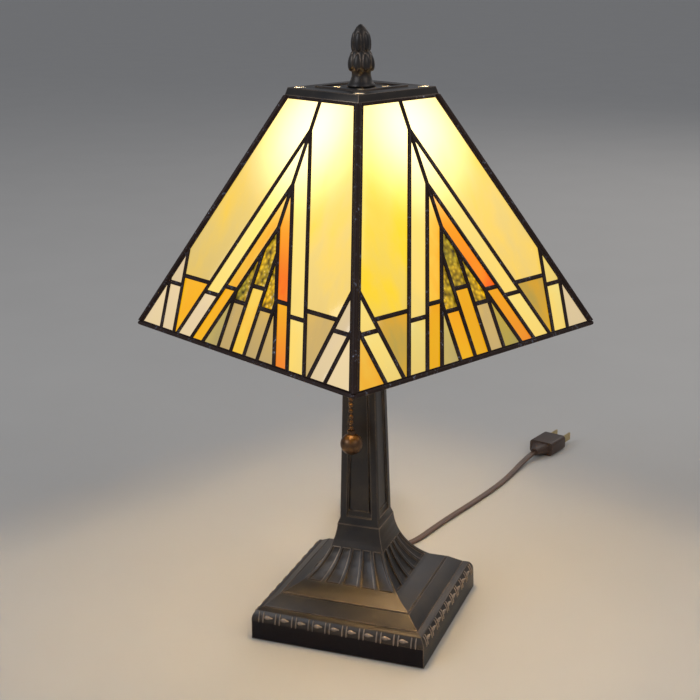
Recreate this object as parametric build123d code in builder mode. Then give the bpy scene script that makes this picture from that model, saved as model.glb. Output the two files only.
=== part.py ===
from build123d import *
import math
import os

os.makedirs("parts", exist_ok=True)

# A mission-style table lamp, in millimetres. The origin is at the middle of the foot, on the table.
# The foot's sides lie along X and Y, its front faces -Y, and the cord leaves at the back.
# The shade has turned about the harp's stud, as it is free to do.

# ---------------------------------------------------------------- foot
foot_half = 58.2          # half the foot's width
foot_lift = 0.6           # the casting's rim clears the table, which only the felt touches
plinth_height = 12.4
plinth_draft = 0.2
leaf_band_height = 7.0    # the moulding that carries the leaf ornament
leaf_band_run = 2.5
leaf_band_bulge = 0.8
lip_height = 1.3
lip_run = 2.9
groove_rise = 0.5
groove_run = 0.8
lower_band_rise = 6.0
lower_band_run = 8.0
middle_groove_rise = 0.6
middle_groove_run = 1.4
upper_band_rise = 4.4
upper_band_run = 8.6
flare_rise = 34.7
flare_sag = 3.9
collar_height = 1.5
collar_half = 14.4        # half the width of the ledge that the column stands on
foot_wall = 3.5
rim_wall = 3.2
roof_thickness = 19.0     # solid metal under the collar
flute_count = 5
flute_depth = 0.9
flute_spread = 0.39       # a flute's pitch, as a share of its distance from the axis
flute_share = 0.287       # its width, as a share of the same distance
flute_start = 1.7         # above the bottom of the flare
flute_rise = 19.4

# ---------------------------------------------------------------- foot's inside
felt_thickness = 2.0
plate_thickness = 1.2
slip = 0.2                # clearance of pieces that drop into a recess
pipe_radius = 4.85        # 1/8 IP lamp pipe
pipe_bore = 3.5
pipe_clearance = 0.3
pipe_bottom = 12.0
ballast_bottom = 18.2
ballast_gap = 3.0         # from the ballast to the cavity's walls
nut_across = 14.3
nut_height = 4.0
washer_radius = 11.0
washer_thickness = 1.2
washer_gap = 0.02

# ---------------------------------------------------------------- column
column_height = 139.0
column_foot_half = 13.0
column_top_half = 9.8
chamfer_rise = 4.0
panel_frame = 4.6         # plain border beside each recessed panel
panel_depth = 1.2
panel_foot_gap = 5.2
panel_top_gap = 6.0
column_bore = 6.5
column_cap_thickness = 2.5
column_cap_overhang = 1.2
spigot_depth = 4.0

# ---------------------------------------------------------------- socket and its switch
socket_shell_radius = 16.0
sheet = 0.6               # thickness of the socket's brass
socket_hub_radius = 7.0
socket_hub_height = 5.0
socket_bell_rise = 8.5
socket_skirt_height = 6.5
socket_shell_height = 41.6
liner_thickness = 0.35
core_height = 17.2
thread_pitch = 3.6        # E26 lampholder and cap
thread_crest = 12.9       # inner radius of the screw shell at its crests
thread_groove = 13.5
screw_shell_height = 21.5
drum_radius = 5.1         # a pull of 8 mm turns it a quarter of a turn
drum_length = 9.0
trunnion_radius = 1.5
trunnion_length = 2.5
running_gap = 0.05
drum_gap = 0.3
spout_clear = 9.0         # from the socket's shell out to the hanging chain
spout_bore = 2.2
spout_wall = 1.0
spout_drop = 11.0         # from the arm down to the flared mouth
spout_flare = 2.0

# ---------------------------------------------------------------- pull chain
bead_radius = 1.5
bead_pitch = 3.8
bead_wire = 0.45
upper_beads = 9
lower_beads = 18
coupling_length = 7.0
coupling_radius = 2.4
coupling_bore = 1.7
ball_radius = 7.0
ball_neck_radius = 2.4
ball_neck_length = 2.4
coupling_drop = 19.2      # from the spout's mouth down to the coupling
upper_hold = 5.4          # the upper chain's last bead, above the coupling's lower end
lower_hang = 0.6          # the lower chain's first bead, below it

# ---------------------------------------------------------------- bulb
bulb_length = 86.0
bulb_radius = 24.0
bulb_neck = 12.4
bulb_wall = 0.8
bulb_thread_crest = 13.2
bulb_thread_root = 12.3
bulb_cap_height = 20.0
insulator_height = 3.0
contact_radius = 4.5
contact_height = 1.2

# ---------------------------------------------------------------- harp
saddle_thickness = 1.5
saddle_edge = 0.85        # metal left beside the hole for the pipe
harp_foot = 31.0          # the legs' distance from the axis
harp_waist = 36.0
harp_height = 124.5       # from the saddle's top face to the middle of the top wire
harp_wire = 2.0
harp_pin_radius = 1.75
harp_pin_height = 10.5
ferrule_radius = 2.7
ferrule_height = 13.0
sleeve_radius = 4.0
sleeve_height = 11.0
crown_radius = 5.5
crown_seat_radius = 8.0
crown_seat_rise = 6.2     # from the middle of the top wire to the seat
stud_radius = 3.175       # 1/4-27 thread
stud_height = 14.0
stud_gap = 0.075

# ---------------------------------------------------------------- shade
shade_turn = -27.33       # degrees about the axis, from the foot's sides
shade_bottom_half = 101.6  # an eight inch shade
shade_top_half = 32.5
shade_height = 142.1
bead_depth = 0.6          # solder stands this far over each face of the glass
glass_thickness = 2.2
seam_half = 1.3           # half the width of a solder line
foil_half = 0.4           # half the gap between two panes
glass_gap = 0.05
rim_height = 2.6
rim_proud = 0.3
hip_radius = 1.9          # solder along the shade's corners
hip_inset = 1.0
hip_margin = 3.7          # from the corner to the visible glass
top_margin = 1.75
cap_rise = 4.5
cap_draft = 1.3
cap_sheet = 1.2
seat_gap = 0.1
ridge_half = 18.8
ridge_width = 3.0
ridge_height = 1.0
vent_radius = 3.25
vent_outer = 25.9
vent_inner = 10.9

# Glass pattern of one side. Distances run up the slope from the bottom edge, or across from its middle.
field_drop = 19.0         # from the top edge down to the outer chevron
cream_band = 33.0         # height of the outer chevron on the middle line
amber_band = 26.5         # height of the inner one
cream_break = 32.0        # where the outer chevron's legs are cut across
amber_break = 38.3
heart_half = 6.2
heart_break = 43.0
inner_break = 31.6
split_rise = 6.0          # from the inner break up to where the inner pane meets the chevron
field_foot = 37.7
side_high = 58.7          # the two side lines meet the corner at these heights
side_low = 38.3
side_break = 31.6
side_gap = 1.7
side_width = 13.6

# ---------------------------------------------------------------- finial
finial_gap = 0.05
finial_height = 36.45
finial_bore_depth = 14.0

# ---------------------------------------------------------------- cord
cord_width = 5.2          # flat twin lamp cord
bushing_height = 7.0
bushing_x = -12.0
bushing_radius = 4.0
bushing_flange = 5.5
bushing_flange_thickness = 2.0
bushing_neck = 18.0
lead_radius = 2.3
hank_length = 98.0
hank_width = 36.4
hank_height = 20.5
hank_waist = 26.0         # its width where the tie draws it in
hank_waist_length = 44.0
hank_bearing = 110.56     # degrees from +X
hank_middle = (-48.8, 130.1)
tie_width = 8.0
tie_thickness = 1.2
plug_length = 24.0
plug_width = 22.0
plug_height = 12.0
plug_relief = 12.0
blade_spacing = 12.7
blade_length = 17.0
blade_width = 6.3
blade_thickness = 1.5

# ---------------------------------------------------------------- heights that follow from the sizes above
plinth_top = foot_lift + plinth_height
flare_bottom = (
    plinth_top + leaf_band_height + lip_height + groove_rise
    + lower_band_rise + middle_groove_rise + upper_band_rise
)
flare_bottom_half = (
    foot_half - plinth_draft - leaf_band_run - lip_run - groove_run
    - lower_band_run - middle_groove_run - upper_band_run
)
flare_top = flare_bottom + flare_rise
foot_top = flare_top + collar_height
ceiling = foot_top - roof_thickness
plate_bottom = felt_thickness
plate_top = plate_bottom + plate_thickness
column_top = foot_top + column_height
column_cap_top = column_top + column_cap_thickness
top_nut_top = column_cap_top + nut_height
saddle_width = 2 * (pipe_radius + pipe_clearance + saddle_edge)
spout_reach = socket_shell_radius + spout_clear   # from the lamp's axis to the hanging chain
saddle_top = top_nut_top + saddle_thickness
socket_bottom = saddle_top
bell_top = socket_bottom + socket_hub_height + socket_bell_rise
skirt_top = bell_top + socket_skirt_height
shell_top = bell_top + socket_shell_height
core_bottom = bell_top + 0.8
core_top = core_bottom + core_height
arm_height = core_top - spout_bore - spout_wall - 1.6
drum_height = arm_height - drum_radius
pipe_top = socket_bottom + socket_hub_height + 1.0
mouth_height = arm_height - spout_drop
bulb_bottom = core_top + 1.2
bulb_top = bulb_bottom + bulb_length
cap_collar = bulb_bottom + contact_height + insulator_height + bulb_cap_height
bulb_middle = bulb_top - bulb_radius
harp_top = saddle_top + harp_height
seat_top = harp_top + crown_seat_rise
cap_top = seat_top + seat_gap + cap_sheet
cap_bottom = cap_top - cap_rise
shade_bottom = cap_bottom - shade_height
slope_length = math.hypot(shade_height, shade_bottom_half - shade_top_half)
edge_slope = (shade_bottom_half - shade_top_half) / slope_length
shade_depth = 2 * bead_depth + glass_thickness

side_angles = {"front": shade_turn, "right": shade_turn + 90, "back": shade_turn + 180, "left": shade_turn + 270}
far = 2 * (foot_half + shade_bottom_half)   # longer than anything that has to be cut through


def finish(builder, name):
    """Labels a finished piece and writes it."""
    builder.part.label = name
    export_step(builder.part, f"parts/{name}.step")


# ================================================================ foot
def foot_outline(inset, drop):
    """Half of the foot's section, from the axis out and up to the collar, set in and down by a wall."""
    corners = [(0.0, foot_lift - drop), (foot_half - inset, foot_lift - drop)]
    steps = [
        (plinth_draft, plinth_height), (leaf_band_run, leaf_band_height), (lip_run, lip_height),
        (groove_run, 0.0), (0.0, groove_rise), (lower_band_run, lower_band_rise),
        (middle_groove_run, 0.0), (0.0, middle_groove_rise), (upper_band_run, upper_band_rise),
    ]
    for run, rise in steps:
        x, z = corners[-1]
        corners.append((x - run, z + rise))
    Polyline(*corners[:3])
    SagittaArc(corners[2], corners[3], -leaf_band_bulge)
    Polyline(*corners[3:])
    flare_end = (collar_half - inset, flare_top - drop)
    SagittaArc(corners[-1], flare_end, flare_sag)
    Polyline(flare_end, (collar_half - inset, foot_top - drop), (0.0, foot_top - drop))


def column_outline(inset):
    """Half of the column's section, from the ledge on the foot to its top."""
    Polyline(
        (0.0, foot_top), (collar_half - inset, foot_top), (column_foot_half - inset, foot_top + chamfer_rise),
        (column_top_half - inset, column_top), (0.0, column_top),
    )


def four_sided(outline, *sizes):
    """Runs a section through both ways and keeps what the two have in common."""
    for plane, mode in ((Plane.XZ, Mode.ADD), (Plane.YZ, Mode.INTERSECT)):
        with BuildSketch(plane) as section:
            with BuildLine():
                outline(*sizes)
                mirror(about=Plane.YZ)
            make_face()
        extrude(section.sketch, amount=foot_half, both=True, mode=mode)


with BuildPart() as foot_cavity:
    four_sided(foot_outline, foot_wall, foot_wall / 2)
    split(bisect_by=Plane.XY.offset(ceiling), keep=Keep.BOTTOM)
    with BuildSketch(Plane.XY.offset(foot_lift - foot_wall)):
        Rectangle(2 * (foot_half - rim_wall), 2 * (foot_half - rim_wall))
    extrude(amount=plate_top - foot_lift + foot_wall)

with BuildPart() as flute_floor:
    four_sided(foot_outline, flute_depth, flute_depth / 2)

with BuildPart() as flutes:
    flute_end = flare_bottom + flute_start + flute_rise
    with BuildSketch(Plane.XY.offset(flare_bottom + flute_start)):
        for quarter in range(4):
            with PolarLocations(0, 1, start_angle=90 * quarter):
                for place in range(flute_count):
                    middle = (place - (flute_count - 1) / 2) * flute_spread
                    low, high = middle - flute_share / 2, middle + flute_share / 2
                    near, wide = collar_half - 2 * flute_depth, flare_bottom_half + 1
                    Polygon((near, near * low), (wide, wide * low), (wide, wide * high), (near, near * high), align=None)
    extrude(amount=flute_rise)
    add(flute_floor.part, mode=Mode.SUBTRACT)

with BuildPart() as foot_casting:
    four_sided(foot_outline, 0.0, 0.0)
    add(foot_cavity.part, mode=Mode.SUBTRACT)
    add(flutes.part, mode=Mode.SUBTRACT)
    with BuildSketch(Plane.XY.offset(ceiling)):
        Circle(pipe_radius + pipe_clearance)
    extrude(amount=roof_thickness, mode=Mode.SUBTRACT)
    with BuildSketch(Plane.XZ.offset(-foot_half - 1)):
        with Locations((bushing_x, bushing_height)):
            Circle(bushing_radius)
    extrude(amount=rim_wall + foot_wall, mode=Mode.SUBTRACT)
finish(foot_casting, "foot_casting")

with BuildPart() as felt_pad:
    with BuildSketch():
        RectangleRounded(2 * (foot_half - rim_wall - slip), 2 * (foot_half - rim_wall - slip), 2.0)
    extrude(amount=felt_thickness)
finish(felt_pad, "felt_pad")

with BuildPart() as bottom_plate:
    with BuildSketch(Plane.XY.offset(plate_bottom)):
        RectangleRounded(2 * (foot_half - rim_wall - slip), 2 * (foot_half - rim_wall - slip), 2.0)
    extrude(amount=plate_thickness)
finish(bottom_plate, "bottom_plate")


def ballast_outline():
    """Half of the ballast's section: it keeps clear of the cavity and reaches the foot's ceiling on the axis."""
    lower_top = plinth_top + leaf_band_height
    flare_room = flare_bottom_half - foot_wall - ballast_gap
    neck = collar_half - foot_wall - 1.0
    Polyline(
        (0.0, ballast_bottom), (foot_half - foot_wall - 3 * ballast_gap, ballast_bottom),
        (foot_half - foot_wall - 3 * ballast_gap, lower_top), (flare_room, flare_bottom - 2 * ballast_gap),
        (neck, flare_bottom), (neck, ceiling), (0.0, ceiling),
    )


with BuildPart() as ballast_weight:
    four_sided(ballast_outline)
    with BuildSketch(Plane.XY.offset(ballast_bottom)):
        Circle(pipe_radius + pipe_clearance)
    extrude(amount=ceiling - ballast_bottom, mode=Mode.SUBTRACT)
finish(ballast_weight, "ballast_weight")

# ================================================================ column
with BuildPart() as panel_floor:
    four_sided(column_outline, panel_depth)

with BuildPart() as panels:
    panel_low = foot_top + panel_foot_gap
    panel_high = column_top - panel_top_gap
    taper = (column_foot_half - column_top_half) / (column_height - chamfer_rise)
    low_half = column_foot_half - taper * (panel_foot_gap - chamfer_rise) - panel_frame
    high_half = column_top_half + taper * panel_top_gap - panel_frame
    for plane in (Plane.XZ, Plane.YZ):
        with BuildSketch(plane):
            Polygon(
                (-low_half, panel_low), (low_half, panel_low), (high_half, panel_high), (-high_half, panel_high),
                align=None,
            )
        extrude(amount=collar_half, both=True)
    add(panel_floor.part, mode=Mode.SUBTRACT)

with BuildPart() as column_casting:
    four_sided(column_outline, 0.0)
    add(panels.part, mode=Mode.SUBTRACT)
    with BuildSketch(Plane.XY.offset(foot_top)):
        Circle(column_bore)
    extrude(amount=column_height, mode=Mode.SUBTRACT)
finish(column_casting, "column_casting")

with BuildPart() as column_cap:
    cap_half = column_top_half + column_cap_overhang
    with BuildSketch(Plane.XY.offset(column_top)):
        RectangleRounded(2 * cap_half, 2 * cap_half, 1.5)
    extrude(amount=column_cap_thickness)
    chamfer(column_cap.edges().group_by(Axis.Z)[-1], 0.6)
    with BuildSketch(Plane.XY.offset(column_top - spigot_depth)):
        Circle(column_bore - slip)
    extrude(amount=spigot_depth)
    with BuildSketch(Plane.XY.offset(column_top - spigot_depth)):
        Circle(pipe_radius + pipe_clearance)
    extrude(amount=spigot_depth + column_cap_thickness, mode=Mode.SUBTRACT)
finish(column_cap, "column_cap")

# ================================================================ pipe and its hardware
with BuildPart() as centre_pipe:
    with BuildSketch(Plane.XY.offset(pipe_bottom)):
        Circle(pipe_radius)
        Circle(pipe_bore, mode=Mode.SUBTRACT)
    extrude(amount=pipe_top - pipe_bottom)
finish(centre_pipe, "centre_pipe")

with BuildPart() as pipe_hardware:
    for height in (ballast_bottom - washer_thickness - washer_gap - nut_height, column_cap_top):
        with BuildSketch(Plane.XY.offset(height)):
            RegularPolygon(nut_across / 2, 6, major_radius=False)
            Circle(pipe_radius, mode=Mode.SUBTRACT)
        extrude(amount=nut_height)
    with BuildSketch(Plane.XY.offset(ballast_bottom - washer_thickness)):
        Circle(washer_radius)
        Circle(pipe_radius + pipe_clearance, mode=Mode.SUBTRACT)
    extrude(amount=washer_thickness)
finish(pipe_hardware, "pipe_hardware")

# ================================================================ harp
with BuildPart() as harp_saddle:
    with BuildSketch(Plane.XY.offset(top_nut_top)):
        SlotCenterToCenter(2 * harp_foot, saddle_width)
        Circle(pipe_radius + pipe_clearance, mode=Mode.SUBTRACT)
    extrude(amount=saddle_thickness)
    with BuildSketch(Plane.XY.offset(saddle_top)):
        with Locations((harp_foot, 0), (-harp_foot, 0)):
            Circle(harp_pin_radius)
    extrude(amount=harp_pin_height)
    chamfer(harp_saddle.edges().group_by(Axis.Z)[-1], 0.4)
finish(harp_saddle, "harp_saddle")

ferrule_bottom = saddle_top + 0.5
with BuildPart() as harp_hoop:
    leg_start = ferrule_bottom + harp_pin_height + 0.5
    shoulder = harp_top - 0.19 * harp_height
    with BuildLine(Plane.XZ) as hoop_line:
        hoop_points = [
            (harp_foot, leg_start), (harp_foot, saddle_top + 0.3 * harp_height),
            (harp_waist, saddle_top + 0.56 * harp_height), (harp_foot, shoulder), (crown_radius + 6, harp_top),
        ]
        hoop_points += [(-x, z) for x, z in reversed(hoop_points)]
        FilletPolyline(*hoop_points, radius=14.0)
    with BuildSketch(Plane.XY.offset(leg_start)):
        with Locations((harp_foot, 0)):
            Circle(harp_wire)
    sweep(path=hoop_line.wires()[0])
    with BuildSketch(Plane.XY.offset(ferrule_bottom)):
        with Locations((harp_foot, 0), (-harp_foot, 0)):
            Circle(ferrule_radius)
    extrude(amount=ferrule_height)
    with BuildSketch(Plane.XY.offset(ferrule_bottom)):
        with Locations((harp_foot, 0), (-harp_foot, 0)):
            Circle(harp_pin_radius + running_gap)
    extrude(amount=harp_pin_height, mode=Mode.SUBTRACT)
finish(harp_hoop, "harp_hoop")

for side, x in (("right", harp_foot), ("left", -harp_foot)):
    with BuildPart() as harp_sleeve:
        with BuildSketch(Plane.XY.offset(saddle_top + running_gap)):
            with Locations((x, 0)):
                Circle(sleeve_radius)
                Circle(ferrule_radius + running_gap, mode=Mode.SUBTRACT)
        extrude(amount=sleeve_height)
        chamfer(harp_sleeve.edges().group_by(Axis.Z)[-1].sort_by(SortBy.LENGTH)[-1], 0.5)
    finish(harp_sleeve, f"harp_sleeve_{side}")

with BuildPart() as harp_crown:
    with BuildSketch(Plane.XY.offset(harp_top - harp_wire - 1.0)):
        Circle(crown_radius)
    extrude(amount=harp_wire + 1.0 + crown_seat_rise)
    with BuildSketch(Plane.XY.offset(harp_top + harp_wire + 1.0)):
        Circle(crown_seat_radius)
    extrude(amount=crown_seat_rise - harp_wire - 1.0)
    with BuildSketch(Plane.YZ):
        with Locations((0, harp_top)):
            Circle(harp_wire)
    extrude(amount=crown_radius + 1, both=True, mode=Mode.SUBTRACT)
finish(harp_crown, "harp_crown")

with BuildPart() as harp_stud:
    with BuildSketch(Plane.XY.offset(seat_top)):
        Circle(stud_radius)
    extrude(amount=stud_height)
    chamfer(harp_stud.edges().group_by(Axis.Z)[-1], 0.5)
finish(harp_stud, "harp_stud")

# ================================================================ socket
shell_inside = socket_shell_radius - sheet
liner_inside = shell_inside - liner_thickness
core_radius = liner_inside - running_gap
cap_inside = socket_shell_radius + running_gap

with BuildPart() as socket_cap:
    with BuildSketch(Plane.XZ):
        with BuildLine():
            Polyline(
                (pipe_radius, socket_bottom), (socket_hub_radius, socket_bottom),
                (socket_hub_radius, socket_bottom + socket_hub_height), (cap_inside + sheet, bell_top),
                (cap_inside + sheet, skirt_top), (cap_inside, skirt_top), (cap_inside, bell_top),
                (cap_inside - 2 * sheet, bell_top), (pipe_radius, socket_bottom + socket_hub_height),
                close=True,
            )
        make_face()
    revolve(axis=Axis.Z)
finish(socket_cap, "socket_cap")

with BuildPart() as socket_shell:
    with BuildSketch(Plane.XY.offset(bell_top)):
        Circle(socket_shell_radius)
        Circle(shell_inside, mode=Mode.SUBTRACT)
    extrude(amount=socket_shell_height)
    with BuildSketch(Plane.XZ):
        with Locations((0, arm_height)):
            Circle(spout_bore + spout_wall)
    extrude(amount=spout_reach, mode=Mode.SUBTRACT)
finish(socket_shell, "socket_shell")

with BuildPart() as socket_liner:
    with BuildSketch(Plane.XY.offset(bell_top + 0.5)):
        Circle(shell_inside)
        Circle(liner_inside, mode=Mode.SUBTRACT)
    extrude(amount=socket_shell_height - 2.5)
    with BuildSketch(Plane.XZ):
        with Locations((0, arm_height)):
            Circle(spout_bore + spout_wall)
    extrude(amount=spout_reach, mode=Mode.SUBTRACT)
finish(socket_liner, "socket_liner")

with BuildPart() as socket_core:
    with BuildSketch(Plane.XY.offset(core_bottom)):
        Circle(core_radius)
    extrude(amount=core_height)
    with BuildSketch(Plane.YZ):
        with Locations((0, drum_height)):
            Circle(drum_radius + drum_gap)
    extrude(amount=drum_length / 2 + drum_gap, both=True, mode=Mode.SUBTRACT)
    with BuildSketch(Plane.YZ):
        with Locations((0, drum_height)):
            Circle(trunnion_radius + running_gap)
    extrude(amount=drum_length / 2 + trunnion_length + drum_gap, both=True, mode=Mode.SUBTRACT)
    with BuildSketch(Plane.XZ):
        with Locations((0, arm_height)):
            Circle(spout_bore)
    extrude(amount=spout_reach, mode=Mode.SUBTRACT)
finish(socket_core, "socket_core")

with BuildPart() as switch_drum:
    with BuildSketch(Plane.YZ):
        with Locations((0, drum_height)):
            Circle(drum_radius)
    extrude(amount=drum_length / 2, both=True)
    with BuildSketch(Plane.YZ):
        with Locations((0, drum_height)):
            Circle(trunnion_radius)
    extrude(amount=drum_length / 2 + trunnion_length, both=True)
finish(switch_drum, "switch_drum")


def thread_wall(crest, groove, bottom, height):
    """Points up a ringed wall: one crest and one groove in each pitch."""
    turns = int(height / thread_pitch)
    points = [(groove, bottom)]
    for turn in range(turns):
        base = bottom + (height - turns * thread_pitch) / 2 + turn * thread_pitch
        points += [(groove, base), (crest, base + thread_pitch / 2)]
    return points + [(groove, bottom + (height + turns * thread_pitch) / 2), (groove, bottom + height)]


with BuildPart() as screw_shell:
    with BuildSketch(Plane.XZ):
        with BuildLine():
            wall = thread_wall(thread_crest, thread_groove, core_top, screw_shell_height)
            outside = core_radius - 0.8
            Polyline((outside, core_top + screw_shell_height), (outside, core_top), *wall, close=True)
        make_face()
    revolve(axis=Axis.Z)
finish(screw_shell, "screw_shell")

with BuildPart() as centre_contact:
    with BuildSketch(Plane.XY.offset(core_top)):
        Circle(contact_radius + 1.0)
    extrude(amount=bulb_bottom - core_top - running_gap)
finish(centre_contact, "centre_contact")

with BuildPart() as chain_spout:
    spout_outside = spout_bore + spout_wall
    with BuildSketch(Plane.XZ.offset(core_radius)):
        with Locations((0, arm_height)):
            Circle(spout_outside)
    extrude(amount=spout_reach - core_radius)
    with BuildSketch(Plane(origin=(0, -spout_reach, 0), x_dir=(0, 1, 0), z_dir=(1, 0, 0))):
        with BuildLine():
            Polyline(
                (0, mouth_height), (spout_outside + spout_flare, mouth_height),
                (spout_outside, mouth_height + spout_flare), (spout_outside, arm_height + spout_outside),
                (0, arm_height + spout_outside), close=True,
            )
        make_face()
    revolve(axis=Axis((0, -spout_reach, 0), (0, 0, 1)))
    with BuildSketch(Plane.XZ.offset(core_radius)):
        with Locations((0, arm_height)):
            Circle(spout_bore)
    extrude(amount=spout_reach - core_radius, mode=Mode.SUBTRACT)
    with BuildSketch(Plane.XY.offset(mouth_height)):
        with Locations((0, -spout_reach)):
            Circle(spout_bore)
    extrude(amount=arm_height + spout_bore - mouth_height, mode=Mode.SUBTRACT)
finish(chain_spout, "chain_spout")

# ================================================================ pull chain
coupling_top = mouth_height - coupling_drop
coupling_bottom = coupling_top - coupling_length
swing_height = coupling_bottom - lower_hang


def bead_string(top, count):
    """A chain's beads on their wire, as one turned shape on the chain's line, from its top bead down."""
    gap = math.sqrt(bead_radius ** 2 - bead_wire ** 2)
    bottom = top - (count - 1) * bead_pitch - bead_radius
    with BuildSketch(Plane(origin=(0, -spout_reach, 0), x_dir=(0, 1, 0), z_dir=(1, 0, 0))) as beads:
        with BuildLine():
            for bead in range(count):
                middle = top - bead * bead_pitch
                start = (0, middle + bead_radius) if bead == 0 else (bead_wire, middle + gap)
                end = (0, middle - bead_radius) if bead == count - 1 else (bead_wire, middle - gap)
                ThreePointArc(start, (bead_radius, middle), end)
                if bead < count - 1:
                    Line(end, (bead_wire, middle - bead_pitch + gap))
            Line((0, bottom), (0, top + bead_radius))
        make_face()
    revolve(beads.sketch, axis=Axis((0, -spout_reach, 0), (0, 0, 1)))


with BuildPart() as chain_upper:
    bead_string(coupling_bottom + upper_hold + (upper_beads - 1) * bead_pitch, upper_beads)
finish(chain_upper, "chain_upper")

with BuildPart() as chain_coupling:
    with BuildSketch(Plane.XY.offset(coupling_bottom)):
        with Locations((0, -spout_reach)):
            Circle(coupling_radius)
            Circle(coupling_bore, mode=Mode.SUBTRACT)
    extrude(amount=coupling_length)
    chamfer(chain_coupling.edges().group_by(Axis.Z)[-1].sort_by(SortBy.LENGTH)[-1], 0.4)
finish(chain_coupling, "chain_coupling")

with BuildPart() as chain_lower:
    bead_string(swing_height, lower_beads)
finish(chain_lower, "chain_lower")

ball_neck_top = swing_height - (lower_beads - 1) * bead_pitch - bead_radius + 0.2
ball_middle = ball_neck_top - ball_neck_length - ball_radius + 0.4
with BuildPart() as ball_pull:
    with Locations((0, -spout_reach, ball_middle)):
        Sphere(ball_radius)
    with BuildSketch(Plane.XY.offset(ball_middle)):
        with Locations((0, -spout_reach)):
            Circle(ball_neck_radius)
    extrude(amount=ball_neck_top - ball_middle)
    add(chain_lower.part, mode=Mode.SUBTRACT)
finish(ball_pull, "ball_pull")

# ================================================================ bulb
insulator_bottom = bulb_bottom + contact_height
screw_bottom = insulator_bottom + insulator_height

with BuildPart() as bulb_contact:
    with BuildSketch(Plane.XY.offset(bulb_bottom)):
        Circle(contact_radius)
    extrude(amount=contact_height)
    chamfer(bulb_contact.edges().group_by(Axis.Z)[0], 0.5)
finish(bulb_contact, "bulb_contact")

with BuildPart() as bulb_insulator:
    with BuildSketch(Plane.XZ):
        Polygon(
            (0, insulator_bottom), (contact_radius + 0.5, insulator_bottom),
            (bulb_thread_root - 0.8, screw_bottom), (0, screw_bottom), align=None,
        )
    revolve(axis=Axis.Z)
finish(bulb_insulator, "bulb_insulator")

with BuildPart() as bulb_cap:
    with BuildSketch(Plane.XZ):
        with BuildLine():
            lower_wall = thread_wall(thread_crest, thread_groove, core_top, screw_shell_height)
            grooves = [z for r, z in lower_wall[1:-1] if r == thread_groove and screw_bottom + 2 < z < cap_collar - 2]
            rings = [(bulb_thread_root, screw_bottom)]
            for height in grooves:
                rings += [
                    (bulb_thread_root, height - thread_pitch / 3), (bulb_thread_crest, height),
                    (bulb_thread_root, height + thread_pitch / 3),
                ]
            rings.append((bulb_thread_root, cap_collar))
            inside = bulb_thread_root - 0.6
            Polyline((inside, cap_collar), (inside, screw_bottom), *rings, close=True)
        make_face()
    revolve(axis=Axis.Z)
finish(bulb_cap, "bulb_cap")


def bulb_outline(wall):
    """Half of the bulb's section: a straight neck, a long shoulder and a round top."""
    neck_top = cap_collar + 3.0
    Polyline((0, cap_collar + wall), (bulb_neck - wall, cap_collar + wall), (bulb_neck - wall, neck_top))
    Spline(
        (bulb_neck - wall, neck_top), (bulb_radius - wall, bulb_middle),
        tangents=[(0, 1), (0, 1)], tangent_scalars=[1.0, 1.2],
    )
    RadiusArc((bulb_radius - wall, bulb_middle), (0, bulb_top - wall), -(bulb_radius - wall))
    Line((0, bulb_top - wall), (0, cap_collar + wall))


with BuildPart() as bulb_glass:
    for wall, mode in ((0.0, Mode.ADD), (bulb_wall, Mode.SUBTRACT)):
        with BuildSketch(Plane.XZ):
            with BuildLine():
                bulb_outline(wall)
            make_face()
        revolve(axis=Axis.Z, mode=mode)
finish(bulb_glass, "bulb_glass")

with BuildPart() as bulb_filament:
    stem_bottom = cap_collar + bulb_wall
    with BuildSketch(Plane.XZ):
        Polygon(
            (0, stem_bottom), (6.0, stem_bottom), (2.2, stem_bottom + 12), (2.2, stem_bottom + 20),
            (0, stem_bottom + 20), align=None,
        )
    revolve(axis=Axis.Z)
    filament_height = bulb_middle - 3.0
    for x in (-9.0, 9.0):
        post = Plane(origin=(0, 0, stem_bottom + 19), z_dir=(x, 0, filament_height - stem_bottom - 19))
        with BuildSketch(post):
            Circle(0.35)
        extrude(amount=math.hypot(x, filament_height - stem_bottom - 19))
    with BuildSketch(Plane.YZ.offset(-9.3)):
        with Locations((0, filament_height)):
            Circle(0.7)
    extrude(amount=18.6)
finish(bulb_filament, "bulb_filament")

# ================================================================ shade


def face_plane(angle, depth=0.0):
    """The outer face of the side that looks along angle: X across, Y up its slope, from its bottom edge."""
    turn = math.radians(angle)
    out = (math.sin(turn), -math.cos(turn))
    rise = shade_height / slope_length
    normal = (out[0] * rise, out[1] * rise, edge_slope)
    foot = (out[0] * shade_bottom_half, out[1] * shade_bottom_half, shade_bottom)
    origin = tuple(place - depth * along for place, along in zip(foot, normal))
    return Plane(origin=origin, x_dir=(math.cos(turn), math.sin(turn), 0), z_dir=normal)


def hip(height):
    """Half the side's width at a height up its slope."""
    return shade_bottom_half - edge_slope * height


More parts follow.
